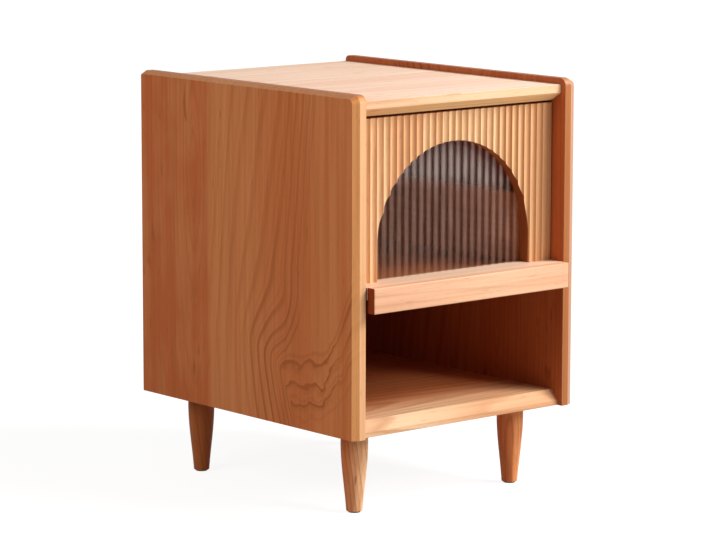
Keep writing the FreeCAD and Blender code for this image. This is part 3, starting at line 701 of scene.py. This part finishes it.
def spindle_rings(graph, across, along, sway, ripple):
    """Long closed rings about a point high behind the joint."""
    off = graph.plus(graph.minus(across, spindle_centre[0]), graph.times(sway, spindle_sway), ripple)
    up = graph.times(graph.minus(along, spindle_centre[1]), spindle_aspect)
    return graph.times(graph.distance(off, up), 1.0 / spindle_spacing)


def panel_rings(grain, across, along):
    """Ring count over a side panel: a wavy core low in front, flanks that bend over it, a spindle behind."""
    graph = grain.graph
    sway = grain.sway(panel_sway, panel_sway_size)
    ripple = grain.sway(panel_ripple, panel_ripple_size)
    flank = flank_rings(graph, across, along, sway, ripple)
    core = core_rings(grain, across, along, ripple)
    front = graph.math("SMOOTH_MAX", flank, core, flank_round)
    in_back = graph.math("GREATER_THAN", across, back_joint)
    return graph.pick(in_back, front, spindle_rings(graph, across, along, sway, ripple))


def panel_lines(grain, across, along, behind):
    """Bold lines of the rings with finer ones between them, calmer behind, where gum marks are added."""
    graph = grain.graph
    count = panel_rings(grain, across, along)
    ring = graph.math("FRACT", count)
    worn = grain.marks(WORN)
    chance = graph.chance(graph.plus(graph.math("FLOOR", count), 0.5))
    weight = graph.times(worn, graph.span(chance, 0.0, 1.0, *bold_weight))
    bold = graph.times(graph.curve(ring, BOLD_PROFILE), weight, graph.span(along, *bold_fade))
    wavy = graph.times(graph.curve(ring, CORE_PROFILE), worn, graph.span(across, *core_end, *core_weight))
    in_core = graph.span(across, flank_start + core_edge, flank_start)
    core = graph.times(in_core, graph.span(along, *core_crown))
    bold = graph.pick(core, bold, wavy)
    fine_count = graph.plus(graph.times(count, fine_rings), fine_shift)
    fine = graph.times(ring_lines(graph, fine_count), fine_contrast)
    strength = graph.span(across, *calm_reach, 1.0, graph.span(along, *calm_share))
    lines = graph.times(graph.most(bold, fine), strength)
    return graph.most(lines, graph.times(grain.marks(GUM), behind))


def panel_blush(grain, across, behind):
    """Drifts and bands of redder wood, cloudier behind the joint."""
    graph = grain.graph
    drift = grain.marks(DRIFT)
    bands = grain.marks(BANDS)
    before = graph.times(graph.most(drift, bands, least_blush), graph.span(across, *blush_before))
    cloudy = graph.span(graph.plus(drift, bands, grain.marks(CLOUDS)), *blush_behind)
    return graph.pick(behind, before, cloudy)


def opposite(lean_range):
    return tuple(-part for part in lean_range)


def panel_wood(name, seed, mirrored, side_tone, inner_tone, flat_tone, bevel_tone):
    """A side panel: figured faces, end grain along its top, and a front edge of paler or darker tone. The
    left panel's outer face and bevel are darker, redder copies of its front edge's tone, as painted shade;
    the right panel's inner face is darker, as painted shade, and its front edge is of darker wood.
    """
    graph = Graph(name)
    grain = Grain(graph, "Z", "Y", seed)
    across = graph.minus(mirror_across, grain.across) if mirrored else grain.across
    along = graph.minus(mirror_along, grain.along) if mirrored else grain.along
    behind = graph.span(across, back_joint - joint_blur, back_joint + joint_blur)
    lines = panel_lines(grain, across, along, behind)
    edge_lines = graph.times(lines, edge_contrast)
    blush = panel_blush(grain, across, behind)

    facing_x, facing_y, facing_z = graph.separate(graph.normal())
    inner = graph.span(facing_x, *(opposite(inner_lean) if mirrored else inner_lean))
    front = graph.span(facing_y, *opposite(bevel_lean))
    flat = graph.span(facing_y, *opposite(flat_lean))
    rising = graph.span(facing_z, *bevel_lean)
    top = graph.span(facing_z, *flat_lean)
    # Tones by facing: the darker, redder ones on the left outer face, its bevel and the right inner face are
    # painted shade
    colour = wood_colour(grain, side_tone, lines, blush)
    colour = overlaid(grain, inner, colour, inner_tone, lines, blush)
    colour = overlaid(grain, rising, colour, TOP_BEVEL_TONE, edge_lines, blush)
    colour = overlaid(grain, top, colour, END_TONE, edge_lines, blush)
    edge = wood_colour(grain, bevel_tone, edge_lines, blush)
    edge = overlaid(grain, flat, edge, flat_tone, edge_lines, blush)
    return wood_surface(grain, graph.mix(front, colour, edge), lines)


# Glass, metal and nylon

def reeded_glass(name):
    """Glass with hazy furrows; above a slanting line it is greyer and hazier as a painted reflection, and at
    its foot it is darker as painted shade.

    Only the reeded side shows: the flat back of the pane is fully clear.
    """
    graph = Graph(name)
    place = graph.object_place()
    ripple = graph.noise(graph.scaled(place, glass_waves, glass_shift), 1.0)
    across, inwards, up = graph.separate(place)
    reed = graph.math("FRACT", graph.times(across, 1 / reed_width))
    least_haze, most_haze = (share * reed_haze for share in reed_haze_share)
    haze = graph.times(graph.curve(reed, REED_HAZE), graph.span(ripple, *noise_range, least_haze, most_haze))
    # Hazier and greyer above a slanting line: painted reflection
    crown = graph.plus(up, graph.times(across, crown_fall))
    above = graph.span(crown, crown_line - crown_blur, crown_line + crown_blur)
    haze = graph.times(haze, graph.pick(above, 1.0, painted_reflection_haze))
    # Darker at the foot: painted shade
    tone = graph.mix(graph.span(up, *foot_reach), FOOT_SHADE_TONE, GLASS_TONE)
    front = graph.math("LESS_THAN", inwards, reed_back)
    graph.surface({
        "Base Color": graph.mix(above, tone, PAINTED_REFLECTION_TONE),
        "Roughness": graph.span(ripple, *noise_range, *glass_roughness),
        "IOR": glass_ior,
        "Specular Tint": glass_tint,
        "Transmission Weight": graph.minus(1.0, haze),
        "Alpha": graph.times(front, glass_alpha),
        "Normal": graph.bump(ripple, glass_relief, glass_depth),
    })
    return graph.material


def metal(name, kind):
    """Plated or plain metal, with a dull bloom in places."""
    graph = Graph(name)
    place = graph.object_place()
    shift = tuple(kind.seed * step for step in metal_seed_step)
    waves = (metal_waves, metal_waves / kind.brushed, metal_waves)
    marks = graph.noise(graph.scaled(place, waves, shift), metal_detail)
    bloom = graph.noise(graph.scaled(place, (metal_bloom,) * 3, shift), 2.0)
    dull = tuple(metal_dullness * part for part in kind.colour)
    roughness = (kind.roughness * share for share in metal_roughness_share)
    graph.surface({
        "Base Color": graph.mix(graph.span(bloom, *metal_bloom_span), kind.colour, dull),
        "Metallic": 1.0,
        "Roughness": graph.span(marks, *noise_range, *roughness),
        "Normal": graph.bump(marks, metal_relief, metal_depth),
    })
    return graph.material


def nylon(name):
    """Moulded nylon with a fine matt skin."""
    graph = Graph(name)
    skin = graph.noise(graph.scaled(graph.object_place(), nylon_waves, nylon_shift), 2.0)
    graph.surface({
        "Base Color": graph.mix(graph.span(skin, *noise_range), *NYLON_TONES),
        "Roughness": graph.span(skin, *noise_range, *nylon_roughness),
        "Normal": graph.bump(skin, nylon_relief, nylon_depth),
    })
    return graph.material


# Which node wears what

def dress(material, *nodes):
    """Gives a material to CAD nodes."""
    for node in nodes:
        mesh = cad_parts[node].data
        mesh.materials.clear()
        mesh.materials.append(material)


def dress_boards(wearers):
    for name, nodes in wearers.items():
        dress(plain_wood(name, BOARDS[name]), *nodes)


def both(stem):
    return f"{stem}_left", f"{stem}_right"


def dress_cabinet():
    pale_tones = (SIDE_TONE, LEFT_INNER_TONE, EDGE_TONE, BEVEL_TONE)
    dark_tones = (DARK_SIDE_TONE, INNER_TONE, DARK_EDGE_TONE, DARK_BEVEL_TONE)
    dress(panel_wood("cherry_side_left", left_side_seed, False, *pale_tones), "side_panel_left")
    dress(panel_wood("cherry_side_right", right_side_seed, True, *dark_tones), "side_panel_right")
    dress(top_wood("cherry_top", top_seed), "top_panel")
    dress(shelf_wood("cherry_shelf", shelf_seed), "bottom_panel")
    dress_boards({"cherry_back": ["back_panel"]})
    for number, (place, leg) in enumerate(LEGS.items()):
        dress(leg_wood(f"cherry_leg_{place}", leg_seed + number, leg), f"leg_{place}")


def dress_drawer():
    dress(fluted_wood("cherry_flutes", front_seed), "fluted_front")
    dress_boards({
        "cherry_lip": ["pull_lip"],
        "cherry_sill": ["drawer_sill"],
        "drawer_side": both("drawer_side"),
        "drawer_back": ["drawer_back"],
        "bead_upright": both("glass_bead"),
        "bead_level": ["glass_bead_top"],
        "drawer_floor": ["drawer_bottom"],
    })
    dress(reeded_glass("reeded_glass_clear"), "reeded_glass")


def dress_hardware():
    rails = ("cabinet", "middle", "drawer")
    rows = ("outer", "inner")
    wearers = {
        "zinc_rail": [node for rail in rails for node in both(f"slide_{rail}_rail")],
        "strip_steel": [node for row in rows for node in both(f"slide_{row}_cage")],
        "polished_steel": [node for row in rows for node in both(f"slide_{row}_balls")],
        "zinc_screw": ["back_panel_screws", "sill_screws", "slide_cabinet_screws", "slide_drawer_screws",
                       "drawer_back_screws", "drawer_bottom_screws", "leg_hanger_bolts", "glass_bead_pins"],
        "brass_insert": ["leg_insert_nuts"],
    }
    for name, nodes in wearers.items():
        dress(metal(name, METALS[name]), *nodes)
    dress(nylon("nylon_glide"), "leg_glides")
    for number, (node, (along, across)) in enumerate(DOWEL_AXES.items()):
        dowel = Board(along, across, dowel_seed + number, DOWEL_TONE, DOWEL_LOG)
        dress(plain_wood(f"beech_{node}", dowel), node)


# Studio

def seen_rays(tree):
    """1 for rays that show the background, directly, by reflection or through glass, but not as light."""
    path = tree.nodes.new("ShaderNodeLightPath")

    def joined(operation, first, second):
        node = tree.nodes.new("ShaderNodeMath")
        node.operation = operation
        tree.links.new(first, node.inputs[0])
        tree.links.new(second, node.inputs[1])
        return node.outputs["Value"]

    shown = path.outputs["Is Camera Ray"]
    for name in ("Is Glossy Ray", "Is Transmission Ray"):
        shown = joined("MAXIMUM", shown, path.outputs[name])
    return joined("GREATER_THAN", shown, path.outputs["Diffuse Depth"])


def mixed(tree, factor, first, second):
    mixer = tree.nodes.new("ShaderNodeMixShader")
    for socket, source in zip(mixer.inputs, (factor, first, second)):
        tree.links.new(source, socket)
    return mixer.outputs["Shader"]


def build_room():
    """A dim room for light, which shows as plain white."""
    world = bpy.data.worlds.new("studio")
    world.use_nodes = True
    tree = world.node_tree
    tree.nodes.clear()
    sources = []
    for colour, strength in ((room_colour, room_strength), (shown_colour, shown_strength)):
        background = tree.nodes.new("ShaderNodeBackground")
        background.inputs["Color"].default_value = colour + (1.0,)
        background.inputs["Strength"].default_value = strength
        sources.append(background.outputs["Background"])
    output = tree.nodes.new("ShaderNodeOutputWorld")
    tree.links.new(mixed(tree, seen_rays(tree), *sources), output.inputs["Surface"])
    bpy.context.scene.world = world


def floor_paint():
    """Pale paint that looks white apart from the object's shadow."""
    paint = bpy.data.materials.new("studio_floor")
    paint.use_nodes = True
    tree = paint.node_tree
    tree.nodes.clear()
    bounce = tree.nodes.new("ShaderNodeBsdfDiffuse")
    bounce.inputs["Color"].default_value = floor_bounce + (1.0,)
    shade = tree.nodes.new("ShaderNodeBsdfDiffuse")
    shade.inputs["Color"].default_value = floor_shade + (1.0,)
    glow = tree.nodes.new("ShaderNodeEmission")
    place = tree.nodes.new("ShaderNodeTexCoord")
    away = tree.nodes.new("ShaderNodeVectorMath")
    away.operation = "LENGTH"
    tree.links.new(place.outputs["Object"], away.inputs[0])
    level = tree.nodes.new("ShaderNodeMapRange")
    for name, number in zip(("From Min", "From Max", "To Min", "To Max"),
                            floor_glow_reach + (floor_glow_near, floor_glow_far)):
        level.inputs[name].default_value = number
    tree.links.new(away.outputs["Value"], level.inputs["Value"])
    tree.links.new(level.outputs["Result"], glow.inputs["Strength"])
    shown = tree.nodes.new("ShaderNodeAddShader")
    tree.links.new(shade.outputs["BSDF"], shown.inputs[0])
    tree.links.new(glow.outputs["Emission"], shown.inputs[1])
    output = tree.nodes.new("ShaderNodeOutputMaterial")
    both_looks = mixed(tree, seen_rays(tree), bounce.outputs["BSDF"], shown.outputs["Shader"])
    tree.links.new(both_looks, output.inputs["Surface"])
    return paint


def build_floor():
    mesh = bpy.data.meshes.new("studio_floor")
    corners = [(x * floor_half, y * floor_half, -floor_drop) for x, y in ((-1, -1), (1, -1), (1, 1), (-1, 1))]
    mesh.from_pydata(corners, [], [(0, 1, 2, 3)])
    mesh.materials.append(floor_paint())
    floor = bpy.data.objects.new("studio_floor", mesh)
    bpy.context.scene.collection.objects.link(floor)


def direction(azimuth, elevation):
    """From the object towards a place: azimuth 0 is the front, and it grows to the right."""
    level = math.cos(elevation)
    return Vector((level * math.sin(azimuth), -level * math.cos(azimuth), math.sin(elevation)))


def build_lamp(name, lamp):
    light = bpy.data.lights.new(name, "AREA")
    light.shape = "RECTANGLE"
    light.size = lamp.width
    light.size_y = lamp.height
    light.energy = lamp.power
    light.color = lamp.colour
    stand = bpy.data.objects.new(name, light)
    towards = direction(math.radians(lamp.azimuth), math.radians(lamp.elevation))
    middle = (Vector(cad_box[0]) + Vector(cad_box[1])) / 2
    stand.location = middle + towards * lamp.distance
    stand.rotation_euler = towards.to_track_quat("Z", "Y").to_euler()
    bpy.context.scene.collection.objects.link(stand)


def build_camera():
    lens = bpy.data.cameras.new("photo_camera")
    lens.lens = camera_lens
    lens.sensor_width = camera_sensor
    lens.sensor_fit = "HORIZONTAL"
    camera = bpy.data.objects.new("photo_camera", lens)
    turn = Matrix.Rotation(-camera_azimuth, 4, "Z")
    tilt = Matrix.Rotation(math.pi / 2 - camera_pitch, 4, "X")
    roll = Matrix.Rotation(camera_roll, 4, "Z")
    facing = turn @ tilt @ roll
    backwards = facing @ Vector((0.0, 0.0, camera_distance))
    camera.matrix_world = Matrix.Translation(camera_aim + backwards) @ facing
    bpy.context.scene.collection.objects.link(camera)
    bpy.context.scene.camera = camera


dress_cabinet()
dress_drawer()
dress_hardware()
build_room()
build_floor()
for lamp_name, lamp in LAMPS.items():
    build_lamp(lamp_name, lamp)
build_camera()
bpy.context.scene.view_settings.view_transform = "Standard"
